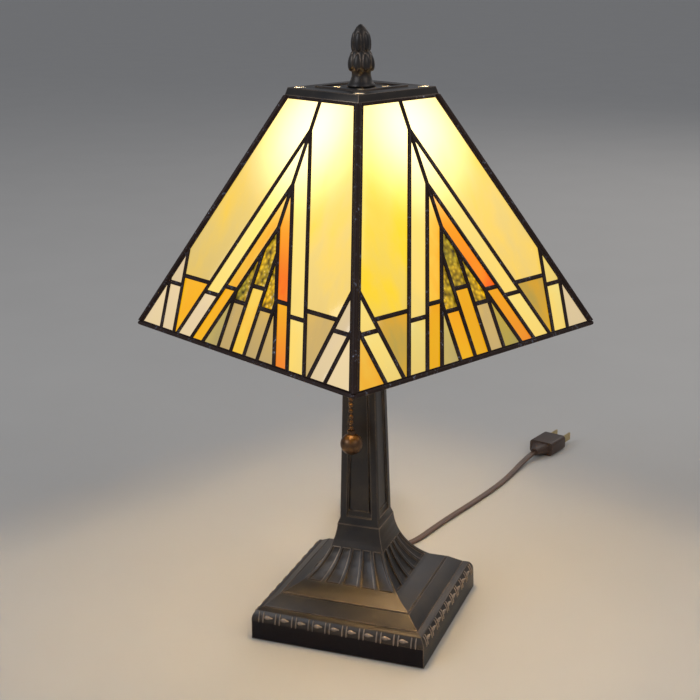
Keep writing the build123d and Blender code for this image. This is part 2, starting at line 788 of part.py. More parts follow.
def inset_outline(points, amount, hip_inset_width, foot_inset, head_inset):
    """A convex outline with every edge moved in by amount, and kept clear of the side's own edges."""
    middle = (sum(p[0] for p in points) / len(points), sum(p[1] for p in points) / len(points))
    cuts = []
    for start, end in zip(points, points[1:] + points[:1]):
        length = math.hypot(end[0] - start[0], end[1] - start[1])
        normal = ((start[1] - end[1]) / length, (end[0] - start[0]) / length)
        if normal[0] * (middle[0] - start[0]) + normal[1] * (middle[1] - start[1]) < 0:
            normal = (-normal[0], -normal[1])
        cuts.append((normal, normal[0] * start[0] + normal[1] * start[1] + amount))
    lean = math.hypot(1.0, edge_slope)
    cuts.append(((-1 / lean, -edge_slope / lean), hip_inset_width - shade_bottom_half / lean))
    cuts.append(((0.0, 1.0), rim_height + foot_inset))
    cuts.append(((0.0, -1.0), head_inset - slope_length))
    outline = list(points)
    for normal, limit in cuts:
        kept = []
        for start, end in zip(outline, outline[1:] + outline[:1]):
            a = normal[0] * start[0] + normal[1] * start[1] - limit
            b = normal[0] * end[0] + normal[1] * end[1] - limit
            if a >= 0:
                kept.append(start)
            if (a > 0 > b) or (a < 0 < b):
                share = a / (a - b)
                kept.append((start[0] + share * (end[0] - start[0]), start[1] + share * (end[1] - start[1])))
        outline = kept
    return outline


outer_apex = slope_length - field_drop
amber_apex = outer_apex - cream_band
heart_apex = amber_apex - amber_band


def chevron(apex, height):
    """How far from the middle line a chevron's leg is, at a height up the slope."""
    return edge_slope * (apex - height)


side_line_foot = chevron(outer_apex, 0) + side_gap
corner_line_foot = side_line_foot + side_width


def side_line(height):
    """The outer field's edge line, from the bottom edge up to the corner at side_high."""
    return side_line_foot + (hip(side_high) - side_line_foot) * height / side_high


def corner_line(height):
    """The corner pane's edge line, from the bottom edge up to the corner at side_low."""
    return corner_line_foot + (hip(side_low) - corner_line_foot) * height / side_low


heart_shoulder = heart_apex - heart_half / edge_slope
split_shoulder = inner_break + split_rise
inner_split = chevron(heart_apex, split_shoulder)

# Each entry is one pane of the right half of a side; its mirror image is on the left.
pane_outlines = {
    "field_panes": [
        (0, slope_length), (shade_top_half, slope_length), (hip(side_high), side_high),
        (side_line(field_foot), field_foot), (chevron(outer_apex, field_foot), field_foot), (0, outer_apex),
    ],
    "cream_long_panes": [
        (0, outer_apex), (chevron(outer_apex, cream_break), cream_break),
        (chevron(amber_apex, cream_break), cream_break), (0, amber_apex),
    ],
    "cream_short_panes": [
        (chevron(outer_apex, cream_break), cream_break), (chevron(outer_apex, 0), 0),
        (chevron(amber_apex, 0), 0), (chevron(amber_apex, cream_break), cream_break),
    ],
    "amber_long_panes": [
        (0, amber_apex), (chevron(amber_apex, amber_break), amber_break),
        (chevron(heart_apex, amber_break), amber_break), (0, heart_apex),
    ],
    "amber_short_panes": [
        (chevron(amber_apex, amber_break), amber_break), (chevron(amber_apex, 0), 0),
        (chevron(heart_apex, 0), 0), (chevron(heart_apex, amber_break), amber_break),
    ],
    "inner_gold_panes": [
        (heart_half, heart_shoulder), (inner_split, split_shoulder), (inner_split, inner_break),
        (heart_half, inner_break),
    ],
    "inner_amber_panes": [(heart_half, inner_break), (inner_split, inner_break), (inner_split, 0), (heart_half, 0)],
    "olive_panes": [(inner_split, split_shoulder), (chevron(heart_apex, 0), 0), (inner_split, 0)],
    "field_foot_panes": [
        (side_line(field_foot), field_foot), (chevron(outer_apex, field_foot), field_foot),
        (chevron(outer_apex, 0), 0), (side_line_foot, 0),
    ],
    "side_panes": [
        (hip(side_high), side_high), (hip(side_low), side_low), (corner_line(side_break), side_break),
        (side_line(side_break), side_break),
    ],
    "side_foot_panes": [
        (side_line(side_break), side_break), (corner_line(side_break), side_break), (corner_line_foot, 0),
        (side_line_foot, 0),
    ],
    "corner_panes": [(hip(side_low), side_low), (shade_bottom_half, 0), (corner_line_foot, 0)],
}
# These stand on the middle line and have no mirror image.
middle_outlines = {
    "heart_gold_panes": [
        (0, heart_apex), (heart_half, heart_shoulder), (heart_half, heart_break), (-heart_half, heart_break),
        (-heart_half, heart_shoulder),
    ],
    "heart_amber_panes": [(heart_half, heart_break), (heart_half, 0), (-heart_half, 0), (-heart_half, heart_break)],
}


def side_outlines(amount, hip_inset_width, foot_inset, head_inset):
    """Every pane outline of one side, by name, both halves, with its edges moved in."""
    insets = (amount, hip_inset_width, foot_inset, head_inset)
    found = {name: [inset_outline(points, *insets)] for name, points in middle_outlines.items()}
    for name, points in pane_outlines.items():
        right = inset_outline(points, *insets)
        found[name] = [right, [(-x, y) for x, y in reversed(right)]]
    return found


glass_outlines = side_outlines(
    foil_half, hip_margin - seam_half + foil_half, foil_half, top_margin - seam_half + foil_half
)
web_outlines = side_outlines(
    foil_half - glass_gap, hip_margin - seam_half + foil_half - glass_gap, foil_half - glass_gap,
    top_margin - seam_half + foil_half - glass_gap,
)
bead_outlines = side_outlines(seam_half, hip_margin, seam_half / 2, top_margin)

with BuildPart() as corner_seams:
    for angle in side_angles.values():
        turn = math.radians(angle + 45)
        out = (math.sin(turn) * math.sqrt(2), -math.cos(turn) * math.sqrt(2))
        low, high = shade_bottom_half - hip_inset, shade_top_half - hip_inset
        hip_line = (out[0] * (high - low), out[1] * (high - low), shade_height)
        hip_length = math.hypot(*hip_line)
        start = Vector(out[0] * low, out[1] * low, shade_bottom) - Vector(*hip_line) * 0.1
        with BuildSketch(Plane(origin=start, z_dir=hip_line)):
            Circle(hip_radius)
        extrude(amount=1.2 * hip_length)
    split(bisect_by=Plane.XY.offset(shade_bottom + rim_height), keep=Keep.TOP)
    split(bisect_by=Plane.XY.offset(cap_bottom), keep=Keep.BOTTOM)
finish(corner_seams, "corner_seams")


def mitre(angle, bottom, top):
    """Keeps only the quarter of the shade that belongs to the side at angle, between two heights."""
    turn = math.radians(angle)
    corners = [(0, 0)]
    for across in (-far, far):
        corners.append((
            across * math.cos(turn) + far * math.sin(turn), across * math.sin(turn) - far * math.cos(turn)
        ))
    with BuildSketch(Plane.XY.offset(bottom)) as quarter:
        Polygon(*corners, align=None)
    extrude(quarter.sketch, amount=top - bottom, mode=Mode.INTERSECT)


for side, angle in side_angles.items():
    with BuildPart() as solder_web:
        layers = (
            (0.0, bead_depth, bead_outlines),
            (bead_depth, glass_thickness, web_outlines),
            (bead_depth + glass_thickness, bead_depth, bead_outlines),
        )
        for depth, thickness, outlines in layers:
            with BuildSketch(face_plane(angle, depth)):
                overrun = slope_length + shade_depth
                Polygon(
                    (-hip(rim_height), rim_height), (hip(rim_height), rim_height),
                    (hip(overrun), overrun), (-hip(overrun), overrun), align=None,
                )
                for shapes in outlines.values():
                    for shape in shapes:
                        Polygon(*shape, align=None, mode=Mode.SUBTRACT)
            extrude(amount=-thickness)
        mitre(angle, shade_bottom - shade_depth, cap_bottom)
        add(corner_seams.part, mode=Mode.SUBTRACT)
    finish(solder_web, f"solder_web_{side}")

rim_bars = []
for angle in side_angles.values():
    with BuildPart() as rim_bar:
        with BuildSketch(face_plane(angle, -rim_proud)):
            Polygon(
                (-shade_bottom_half - rim_proud, 0), (shade_bottom_half + rim_proud, 0),
                (shade_bottom_half + rim_proud, rim_height), (-shade_bottom_half - rim_proud, rim_height), align=None,
            )
        extrude(amount=-shade_depth - 2 * rim_proud)
        mitre(angle, shade_bottom - shade_depth, cap_bottom)
    rim_bars.append(rim_bar.part)

with BuildPart() as bottom_rim:
    add(rim_bars)
finish(bottom_rim, "bottom_rim")

glass_outlines["side_panes"] += glass_outlines.pop("side_foot_panes")   # cut from one sheet of glass
for name, outlines in glass_outlines.items():
    with BuildPart() as panes:
        for angle in side_angles.values():
            with BuildSketch(face_plane(angle, bead_depth)):
                for outline in outlines:
                    Polygon(*outline, align=None)
            extrude(amount=-glass_thickness)
    finish(panes, name)

with BuildPart() as shade_cap:
    cap_top_half = shade_top_half - cap_draft
    turned = Plane(origin=(0, 0, 0), x_dir=(math.cos(math.radians(shade_turn)), math.sin(math.radians(shade_turn)), 0))
    with BuildSketch(turned.offset(cap_bottom)):
        Rectangle(2 * shade_top_half, 2 * shade_top_half)
    with BuildSketch(turned.offset(cap_top)):
        Rectangle(2 * cap_top_half, 2 * cap_top_half)
    loft()
    with BuildSketch(turned.offset(cap_bottom)):
        Rectangle(2 * (shade_top_half - cap_sheet), 2 * (shade_top_half - cap_sheet))
    with BuildSketch(turned.offset(cap_top - cap_sheet)):
        Rectangle(2 * (cap_top_half - cap_sheet), 2 * (cap_top_half - cap_sheet))
    loft(mode=Mode.SUBTRACT)
    with BuildSketch(turned.offset(cap_top)):
        RectangleRounded(2 * ridge_half + ridge_width, 2 * ridge_half + ridge_width, 2.0)
        RectangleRounded(2 * ridge_half - ridge_width, 2 * ridge_half - ridge_width, 1.0, mode=Mode.SUBTRACT)
    extrude(amount=ridge_height)
    with BuildSketch(turned.offset(cap_bottom)):
        with Locations([(x * vent_outer, y * vent_outer) for x in (-1, 1) for y in (-1, 1)]):
            Circle(vent_radius)
        with Locations([(x * vent_inner, y * vent_inner) for x in (-1, 1) for y in (-1, 1)]):
            Circle(vent_radius)
        Circle(stud_radius + stud_gap)
    extrude(amount=cap_rise, mode=Mode.SUBTRACT)
finish(shade_cap, "shade_cap")

# ================================================================ finial
with BuildPart() as finial:
    foot_of_finial = cap_top + finial_gap
    with BuildSketch(Plane.XZ):
        with BuildLine():
            tip = (0, foot_of_finial + finial_height)
            Polyline((0, foot_of_finial), (8.4, foot_of_finial), (8.45, foot_of_finial + 1.2))
            Spline(
                (8.45, foot_of_finial + 1.2), (5.8, foot_of_finial + 6.5), (8.7, foot_of_finial + 13.0),
                (8.2, foot_of_finial + 16.0), (5.7, foot_of_finial + 20.7), (6.05, foot_of_finial + 24.6),
                (3.4, foot_of_finial + 32.0), tip,
            )
            Line(tip, (0, foot_of_finial))
        make_face()
    revolve(axis=Axis.Z)
    with BuildSketch(Plane.XY.offset(foot_of_finial)):
        Circle(stud_radius + stud_gap)
    extrude(amount=finial_bore_depth, mode=Mode.SUBTRACT)
finish(finial, "finial")

# ================================================================ cord
bushing_end = foot_half + bushing_flange_thickness + bushing_neck

with BuildPart() as cord_bushing:
    with BuildSketch(Plane.XZ.offset(-foot_half)):
        with Locations((bushing_x, bushing_height)):
            Circle(bushing_flange)
    extrude(amount=-bushing_flange_thickness)
    with BuildSketch(Plane.XZ.offset(-foot_half)):
        with Locations((bushing_x, bushing_height)):
            Circle(bushing_radius)
    extrude(amount=rim_wall)
    with BuildSketch(Plane.XZ.offset(-foot_half - bushing_flange_thickness)):
        with Locations((bushing_x, bushing_height)):
            Circle(bushing_radius + 0.6)
    with BuildSketch(Plane.XZ.offset(-bushing_end)):
        with Locations((bushing_x, bushing_height)):
            Circle(cord_width / 2 + 0.7)
    loft()
    with BuildSketch(Plane.XZ.offset(-foot_half + rim_wall)):
        with Locations((bushing_x, bushing_height)):
            Circle(lead_radius)
    extrude(amount=-bushing_end, mode=Mode.SUBTRACT)
finish(cord_bushing, "cord_bushing")


def round_sweep(points, radius, name):
    """A round cord along straight runs, each corner rounded as far as its two runs allow."""
    corners = []
    for before, here, after in zip(points, points[1:], points[2:]):
        first, second = Vector(*here) - Vector(*before), Vector(*after) - Vector(*here)
        turn = math.radians(first.get_angle(second))
        corners.append(0.45 * min(first.length, second.length) / math.tan(turn / 2))
    print(name, "bend radii", [round(corner, 1) for corner in corners])
    with BuildLine() as route:
        FilletPolyline(*points, radius=corners)
    start = Vector(*points[1]) - Vector(*points[0])
    with BuildSketch(Plane(origin=points[0], z_dir=start)) as section:
        Circle(radius)
    sweep(section.sketch, path=route.wires()[0])
    print(name, "length", round(route.wires()[0].length, 1))


with BuildPart() as lead_wire:
    inner_end = foot_half - rim_wall
    round_sweep(
        [
            (bushing_x, bushing_end, bushing_height), (bushing_x, inner_end - 6, bushing_height),
            (bushing_x / 3, 14.0, pipe_bottom / 2), (0, 5.5, pipe_bottom / 2), (0, 0, pipe_bottom / 2 + 5.5),
            (0, 0, pipe_top),
        ],
        lead_radius, "lead_wire",
    )
finish(lead_wire, "lead_wire")

cord_route_start = [
    (bushing_x, bushing_end, bushing_height), (-13.0, 89.0, 10.0), (-20.0, 101.0, 15.0), (-24.5, 110.5, 17.5),
]
cord_route_end = [
    (-32.5, 87.5, 2.6), (-18.5, 92.5, 2.6), (-7.2, 102.0, 2.6), (-0.4, 115.5, 2.6), (4.2, 135.0, 2.6),
    (10.5, 160.0, 2.6), (19.4, 190.0, 2.6), (26.0, 214.0, 2.6), (32.5, 242.0, 2.6), (36.0, 266.0, 2.6),
    (39.5, 287.5, 3.6), (45.0, 306.0, 6.0),
]

with BuildPart() as cord_hank:
    hank_plane = Plane(
        origin=(hank_middle[0], hank_middle[1], 0),
        x_dir=(math.cos(math.radians(hank_bearing)), math.sin(math.radians(hank_bearing)), 0),
    )
    notch = (hank_width - hank_waist) / 2
    notch_radius = (hank_waist_length ** 2 / 4 + notch ** 2) / (2 * notch)
    with BuildSketch(hank_plane):
        SlotOverall(hank_length, hank_width)
        with Locations((0, hank_waist / 2 + notch_radius), (0, -hank_waist / 2 - notch_radius)):
            Circle(notch_radius, mode=Mode.SUBTRACT)
    extrude(amount=hank_height)
    with BuildSketch(hank_plane):
        Rectangle(tie_width, hank_width)
    extrude(amount=tie_thickness, mode=Mode.SUBTRACT)
    with BuildSketch(hank_plane.offset(hank_height - tie_thickness)):
        Rectangle(tie_width, hank_width)
    extrude(amount=tie_thickness, mode=Mode.SUBTRACT)
    with BuildSketch(hank_plane):
        Rectangle(tie_width, hank_width)
        Rectangle(tie_width, hank_waist - 2 * tie_thickness, mode=Mode.SUBTRACT)
    extrude(amount=hank_height, mode=Mode.SUBTRACT)
finish(cord_hank, "cord_hank")

with BuildPart() as cord_tie:
    with BuildSketch(hank_plane):
        Rectangle(tie_width, hank_waist)
    extrude(amount=hank_height)
    add(cord_hank.part, mode=Mode.SUBTRACT)
finish(cord_tie, "cord_tie")

with BuildPart() as cord_start:
    round_sweep(cord_route_start, cord_width / 2, "cord_start")
finish(cord_start, "cord_start")

with BuildPart() as power_cord:
    round_sweep(cord_route_end, cord_width / 2, "power_cord")
finish(power_cord, "power_cord")

with BuildPart() as plug_body:
    last, before = Vector(*cord_route_end[-1]), Vector(*cord_route_end[-2])
    heading = Vector(last.X - before.X, last.Y - before.Y, 0).normalized()
    plug_plane = Plane(origin=last, x_dir=(heading.Y, -heading.X, 0), z_dir=heading)
    with BuildSketch(plug_plane):
        Circle(cord_width / 2 + 0.6)
    with BuildSketch(plug_plane.offset(plug_relief)):
        RectangleRounded(0.7 * plug_width, 0.8 * plug_height, 3.0)
    loft()
    with BuildSketch(plug_plane.offset(plug_relief)):
        RectangleRounded(plug_width, plug_height, 3.0)
    extrude(amount=plug_length)
finish(plug_body, "plug_body")

with BuildPart() as plug_blades:
    with BuildSketch(plug_plane.offset(plug_relief + plug_length)):
        with Locations((-blade_spacing / 2, 0), (blade_spacing / 2, 0)):
            Rectangle(blade_thickness, blade_width)
    extrude(amount=blade_length)
    chamfer(plug_blades.edges().filter_by(Axis.Z), 0.4)
finish(plug_blades, "plug_blades")
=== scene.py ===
import math
import random

import bmesh
import bpy
from mathutils import Matrix, Vector


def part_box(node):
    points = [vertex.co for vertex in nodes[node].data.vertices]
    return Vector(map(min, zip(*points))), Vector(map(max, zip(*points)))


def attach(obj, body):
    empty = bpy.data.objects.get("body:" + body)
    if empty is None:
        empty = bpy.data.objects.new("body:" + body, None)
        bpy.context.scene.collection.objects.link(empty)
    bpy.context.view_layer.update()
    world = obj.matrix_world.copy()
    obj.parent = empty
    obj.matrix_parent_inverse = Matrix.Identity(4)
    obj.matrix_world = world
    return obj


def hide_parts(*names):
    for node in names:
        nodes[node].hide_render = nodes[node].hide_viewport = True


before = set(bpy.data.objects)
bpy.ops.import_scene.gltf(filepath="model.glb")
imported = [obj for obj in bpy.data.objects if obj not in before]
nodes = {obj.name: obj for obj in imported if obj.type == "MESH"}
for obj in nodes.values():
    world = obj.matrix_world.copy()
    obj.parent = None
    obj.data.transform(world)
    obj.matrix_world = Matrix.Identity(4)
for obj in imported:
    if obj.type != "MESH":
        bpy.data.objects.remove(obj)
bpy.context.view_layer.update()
MM = 0.001

# ---------------------------------------------------------------- foot casting
# A stepped square foot, sand cast in zinc, with recessed flutes up its flare. It is finished in
# dark bronze, which handling has rubbed back to a lighter brown along every edge.


class Signal:
    """A shader value that takes part in arithmetic: each operation adds one Math node."""

    def __init__(self, finish, socket):
        self.finish = finish
        self.socket = socket

    def math(self, operation, *values, clamp=False):
        return self.finish.node("Math", dict(enumerate(values)), operation=operation, use_clamp=clamp)

    def __add__(self, other):
        return self.math("ADD", self, other)

    def __sub__(self, other):
        return self.math("SUBTRACT", self, other)

    def __rsub__(self, other):
        return self.math("SUBTRACT", other, self)

    def __mul__(self, other):
        return self.math("MULTIPLY", self, other)

    def __rtruediv__(self, other):
        return self.math("DIVIDE", other, self)

    def __pow__(self, other):
        return self.math("POWER", self, other)

    __radd__ = __add__
    __rmul__ = __mul__

    def between(self, low, high):
        """0 at low, 1 at high, and a straight slope from one to the other."""
        return self.math("MULTIPLY_ADD", self, 1 / (high - low), -low / (high - low), clamp=True)


class Finish:
    """One material, built node by node around a Principled shader."""

    def __init__(self, name):
        self.material = bpy.data.materials.new(name)
        self.material.use_nodes = True
        self.tree = self.material.node_tree
        self.shader = self.tree.nodes["Principled BSDF"]

    def node(self, kind, sockets=None, output=0, **settings):
        """A node of that kind: its settings first, then the values or links of its sockets."""
        made = self.tree.nodes.new("ShaderNode" + kind)
        for name, value in settings.items():
            setattr(made, name, value)
        for key, value in (sockets or {}).items():
            self.feed(made.inputs[key], value)
        return Signal(self, made.outputs[output])

    def feed(self, socket, value):
        if isinstance(value, Signal):
            self.tree.links.new(value.socket, socket)
        elif isinstance(value, tuple) and len(socket.default_value) == 4:
            socket.default_value = (*value, 1.0)
        else:
            socket.default_value = value

    def place(self, stretch=(1.0, 1.0, 1.0)):
        """The point on the piece, in metres, with each axis stretched or squeezed."""
        where = self.node("TexCoord", output="Object")
        if stretch == (1.0, 1.0, 1.0):
            return where
        return self.node("Mapping", {"Vector": where, "Scale": stretch})

    def noise(self, scale, detail=2.0, where=None):
        return self.node("TexNoise", {"Vector": where or self.place(), "Scale": scale, "Detail": detail})

    def mix(self, share, first, second, blend="MIX"):
        sockets = {0: share, 6: first, 7: second}
        return self.node("Mix", sockets, output=2, data_type="RGBA", blend_type=blend)

    def bump(self, height, strength, distance):
        return self.node("Bump", {"Height": height, "Strength": strength, "Distance": distance})

    def worn_edge(self, radius, low, high):
        """1 along a piece's sharp edges, where its finish has been rubbed, and 0 on its faces."""
        rounded = self.node("Bevel", {"Radius": radius}, samples=6)
        true = self.node("NewGeometry", output="Normal")
        agreement = self.node("VectorMath", {0: rounded, 1: true}, output="Value", operation="DOT_PRODUCT")
        return (1 - agreement).between(low, high)

    def surface(self, **sockets):
        """Feeds the Principled shader, with _ for each space in a socket's name."""
        for name, value in sockets.items():
            self.feed(self.shader.inputs[name.replace("_", " ")], value)
        return self.material


# Painted shade: below about 13 mm the casting is coloured nearly black, for the dark surroundings that the
# plinth's upright faces reflect.
plinth_painted_shade = (0.016, 0.014, 0.018)
plinth_shade_edge = (12.5 * MM, 14.5 * MM)


def bronze_finish(name, dark, brown, worn, wear):
    """Nearly black bronze, browner in clouds, and worn through to a lighter metal at its edges, with painted
    shade darkening the plinth.
    """
    finish = Finish(name)
    edge = finish.worn_edge(1.2 * MM, 0.004, 0.16)
    cloud = finish.noise(38.0, 4.0)
    speckle = finish.noise(1100.0, 3.0)
    satin = finish.mix(cloud.between(0.35, 0.68), dark, brown)
    # Painted shade: the height mask mixes the casting to nearly black below the plinth's top.
    height = finish.node("SeparateXYZ", {0: finish.place()}, output="Z")
    ground = finish.mix(height.between(*plinth_shade_edge), plinth_painted_shade, satin)
    rubbed = edge * cloud.between(0.2, 0.6) * wear + speckle.between(0.64, 0.82) * 0.1
    grain = finish.bump(speckle + 0.8 * finish.noise(260.0, 3.0), 0.2, 0.3 * MM)
    return finish.surface(
        Base_Color=finish.mix(rubbed, ground, worn), Metallic=0.85, Normal=grain,
        Roughness=0.3 + 0.14 * cloud + 0.1 * speckle - 0.04 * edge,
    )


cast_bronze = bronze_finish(
    "cast_bronze", dark=(0.05, 0.047, 0.048), brown=(0.08, 0.068, 0.058), worn=(0.5, 0.37, 0.27), wear=0.75
)


def node_copy(name):
    """A copy of a CAD node's mesh, with its triangles merged back into whole faces."""
    mesh = bmesh.new()
    mesh.from_mesh(nodes[name].data)
    bmesh.ops.remove_doubles(mesh, verts=mesh.verts, dist=0.002 * MM)
    bmesh.ops.dissolve_limit(mesh, angle_limit=math.radians(0.6), verts=mesh.verts, edges=mesh.edges)
    return mesh


def new_piece(name, mesh, material, body, slot, *replaced):
    """A piece made from a bmesh, which rides on a body and stands for the nodes that are named."""
    data = bpy.data.meshes.new(name)
    mesh.to_mesh(data)
    mesh.free()
    data.materials.append(material)
    data.polygons.foreach_set("use_smooth", [True] * len(data.polygons))
    piece = bpy.data.objects.new(name, data)
    bpy.context.scene.collection.objects.link(piece)
    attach(piece, body)
    if replaced:
        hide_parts(*replaced)
    return piece


def soften(piece, width, segments=2, angle=28):
    """Rounds a piece's sharp edges."""
    rounding = piece.modifiers.new("rounded_edges", "BEVEL")
    rounding.width = width
    rounding.segments = segments
    rounding.limit_method = "ANGLE"
    rounding.angle_limit = math.radians(angle)
    rounding.harden_normals = True


def bevel_edges(mesh, edges, width, segments):
    """Rounds the chosen edges of a bmesh."""
    bmesh.ops.bevel(
        mesh, geom=edges, offset=width, segments=segments, profile=0.5, affect="EDGES", material=-1,
        clamp_overlap=True,
    )


foot_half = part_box("foot_casting")[1][0]
plinth_top = 13.0 * MM
leaf_band_top = 20.0 * MM
corner_radius = 1.6 * MM
foot_mesh = node_copy("foot_casting")


def on_low_corner(vert):
    """True at the four upright corners of the plinth and the moulding above it."""
    at_corner = min(abs(vert.co.x), abs(vert.co.y)) > foot_half - 3 * MM
    return at_corner and vert.co.z < leaf_band_top + 0.1 * MM


corner_edges = [
    edge for edge in foot_mesh.edges
    if all(on_low_corner(vert) for vert in edge.verts)
    and abs(edge.verts[0].co.z - edge.verts[1].co.z) > 0.2 * MM
]
bevel_edges(foot_mesh, corner_edges, corner_radius, 4)
foot = new_piece("foot", foot_mesh, cast_bronze, "lamp_base", "bronze_casting", "foot_casting")
soften(foot, 0.45 * MM)

# ---------------------------------------------------------------- leaf band
# The moulding above the plinth carries a repeat of two upright ridges and a small pointed leaf.
# It is part of the casting, and its high points are the most rubbed of all; the whole band is also lighter as
# painted highlight.
band_pitch = 11.4 * MM
band_repeats = 10
band_run = 2.5 * MM
band_bulge = 0.75 * MM
ridge_spacing = 1.45 * MM
band_lean = math.atan2(band_run, leaf_band_top - plinth_top)
band_face = foot_half - band_run / 2 + band_bulge * math.cos(band_lean)
band_height = (plinth_top + leaf_band_top) / 2
ridge_half = (0.6 * MM, 1.0 * MM, 3.7 * MM)
leaf_depth = 0.7 * MM
leaf_end_gap = 3.4 * MM
# A leaf is three lumps in a row: how far along each is, and half its length and its height.
leaf_lumps = ((4.2, 2.3, 1.25), (5.9, 1.5, 0.8), (7.2, 0.8, 0.5))


def lump(mesh, place, sizes, segments=8, rings=6):
    """A smooth rounded lump: place is a matrix, and sizes are its half axes."""
    scale = Matrix.Diagonal((*sizes, 1.0))
    bmesh.ops.create_uvsphere(
        mesh, u_segments=segments, v_segments=rings, radius=1.0, matrix=place @ scale
    )


leaf_band = bmesh.new()
lean_back = Matrix.Rotation(-band_lean, 4, "X")
for quarter in range(4):
    face = Matrix.Rotation(quarter * math.pi / 2, 4, "Z")
    for repeat in range(band_repeats):
        along = (repeat - (band_repeats - 1) / 2) * band_pitch
        for shift in (-ridge_spacing, ridge_spacing):
            spot = Vector((along + shift, 0.35 * MM - band_face, band_height - 0.2 * MM))
            lump(leaf_band, face @ Matrix.Translation(spot) @ lean_back, ridge_half)
        for shift, half_long, half_tall in leaf_lumps:
            spot = Vector((along + shift * MM, 0.15 * MM - band_face, band_height + 0.1 * MM))
            if abs(spot.x) < foot_half - leaf_end_gap:
                leaf_half = (half_long * MM, leaf_depth, half_tall * MM)
                lump(leaf_band, face @ Matrix.Translation(spot) @ lean_back, leaf_half)
# A lighter copy of the bronze for the band: partly rubbed wear, and partly painted highlight for the lamp's
# light off the moulding.
rubbed_bronze_with_highlight = bronze_finish(
    "rubbed_bronze_with_highlight", dark=(0.24, 0.2, 0.17), brown=(0.4, 0.32, 0.26), worn=(0.62, 0.5, 0.4), wear=0.9
)
new_piece("leaf_band", leaf_band, rubbed_bronze_with_highlight, "lamp_base", "bronze_casting")

# ---------------------------------------------------------------- felt, plate and ballast
# Black felt is glued under the foot, so that it doesn't mark a table. A steel plate closes the
# foot, and an iron disc inside it keeps the lamp from tipping.


def paint(material, *names):
    """Gives CAD nodes their finish."""
    for name in names:
        nodes[name].data.materials.clear()
        nodes[name].data.materials.append(material)


def plain_finish(
    name, colour, second, scale, rough, metal=0.0, bump=0.15, coat=0.0, stretch=(1.0, 1.0, 1.0)
):
    """Two tones in a fine grain, with the grain felt in the surface as well."""
    finish = Finish(name)
    grain = finish.noise(scale, 4.0, finish.place(stretch))
    colours = finish.mix(grain.between(0.3, 0.7), colour, second)
    return finish.surface(
        Base_Color=colours, Roughness=rough - 0.08 + 0.16 * grain, Metallic=metal, Coat_Weight=coat,
        Normal=finish.bump(grain, bump, 0.2 * MM),
    )


paint(
    plain_finish("black_felt", (0.012, 0.012, 0.012), (0.04, 0.038, 0.036), 2600, 0.95, bump=0.8),
    "felt_pad",
)
zinc_plate = plain_finish("zinc_plate", (0.5, 0.5, 0.46), (0.62, 0.61, 0.56), 160, 0.38, metal=1.0)
paint(zinc_plate, "bottom_plate")
paint(
    plain_finish("cast_iron", (0.05, 0.048, 0.045), (0.12, 0.11, 0.1), 420, 0.7, metal=0.7, bump=0.6),
    "ballast_weight",
)

# ---------------------------------------------------------------- column
# A tapering square column cast with the same bronze finish. Each side has a recessed panel with
# a thin bead round it, and the piece on top is a small square cap.
column = new_piece(
    "column", node_copy("column_casting"), cast_bronze, "lamp_base", "bronze_casting", "column_casting"
)
soften(column, 0.5 * MM)
column_top_cap = new_piece(
    "column_top_cap", node_copy("column_cap"), cast_bronze, "lamp_base", "bronze_casting", "column_cap"
)
soften(column_top_cap, 0.6 * MM)

panel_bottom, panel_top = 78.4 * MM, 202.0 * MM
column_foot_half, column_top_half = 13.0 * MM, 9.8 * MM
column_foot, column_head = 73.0 * MM, 208.0 * MM
panel_depth = 1.2 * MM
panel_border = 5.9 * MM
bead_radius = 0.55 * MM
bead_overrun = 0.6 * MM


def column_half(height):
    """Half the column's width at a height."""
    share = (height - column_foot) / (column_head - column_foot)
    return column_foot_half + share * (column_top_half - column_foot_half)


panel_beads = bmesh.new()
for quarter in range(4):
    face = Matrix.Rotation(quarter * math.pi / 2, 4, "Z")
    corners = []
    for height, side in ((panel_bottom, -1), (panel_bottom, 1), (panel_top, 1), (panel_top, -1)):
        half = column_half(height)
        corners.append(face @ Vector((side * (half - panel_border), -(half - panel_depth), height)))
    for start, end in zip(corners, corners[1:] + corners[:1]):
        run = end - start
        middle = Matrix.Translation((start + end) / 2) @ run.to_track_quat("Z", "Y").to_matrix().to_4x4()
        bmesh.ops.create_cone(
            panel_beads, cap_ends=True, segments=10, radius1=bead_radius, radius2=bead_radius,
            depth=run.length + bead_overrun, matrix=middle,
        )
new_piece("panel_beads", panel_beads, cast_bronze, "lamp_base", "bronze_casting")

# ---------------------------------------------------------------- pipe and its nuts
# Threaded steel pipe runs up through the foot and the column. Nuts and a washer at its ends
# clamp the whole stand together, and the flex comes up inside it.
threads = Finish("threaded_steel")
thread_wave = threads.node(
    "TexWave", {"Vector": threads.place(), "Scale": 300.0, "Distortion": 0.0},
    bands_direction="Z", output="Fac",
)
# The colour darkens with the thread's wave in its roots: painted shade in the grooves, beside the bump that
# sinks them.
paint(
    threads.surface(
        Base_Color=threads.mix(thread_wave, (0.32, 0.31, 0.28), (0.6, 0.58, 0.53)), Metallic=1.0,
        Roughness=0.3 + 0.15 * thread_wave, Normal=threads.bump(thread_wave, 0.6, 0.4 * MM),
    ),
    "centre_pipe",
)
paint(zinc_plate, "pipe_hardware")

# ---------------------------------------------------------------- harp
# The harp is a hoop of brassed steel wire whose legs drop into a pressed saddle. Squeezing the
# legs after lifting the two sleeves lets it out, and its crown carries the stud for the shade.
brassed_wire = plain_finish(
    "brassed_wire", (0.5, 0.36, 0.16), (0.62, 0.46, 0.22), 240, 0.32, metal=1.0, stretch=(1.0, 1.0, 0.2)
)
paint(brassed_wire, "harp_saddle", "harp_hoop", "harp_crown", "harp_stud")
paint(brassed_wire, "harp_sleeve_right", "harp_sleeve_left")

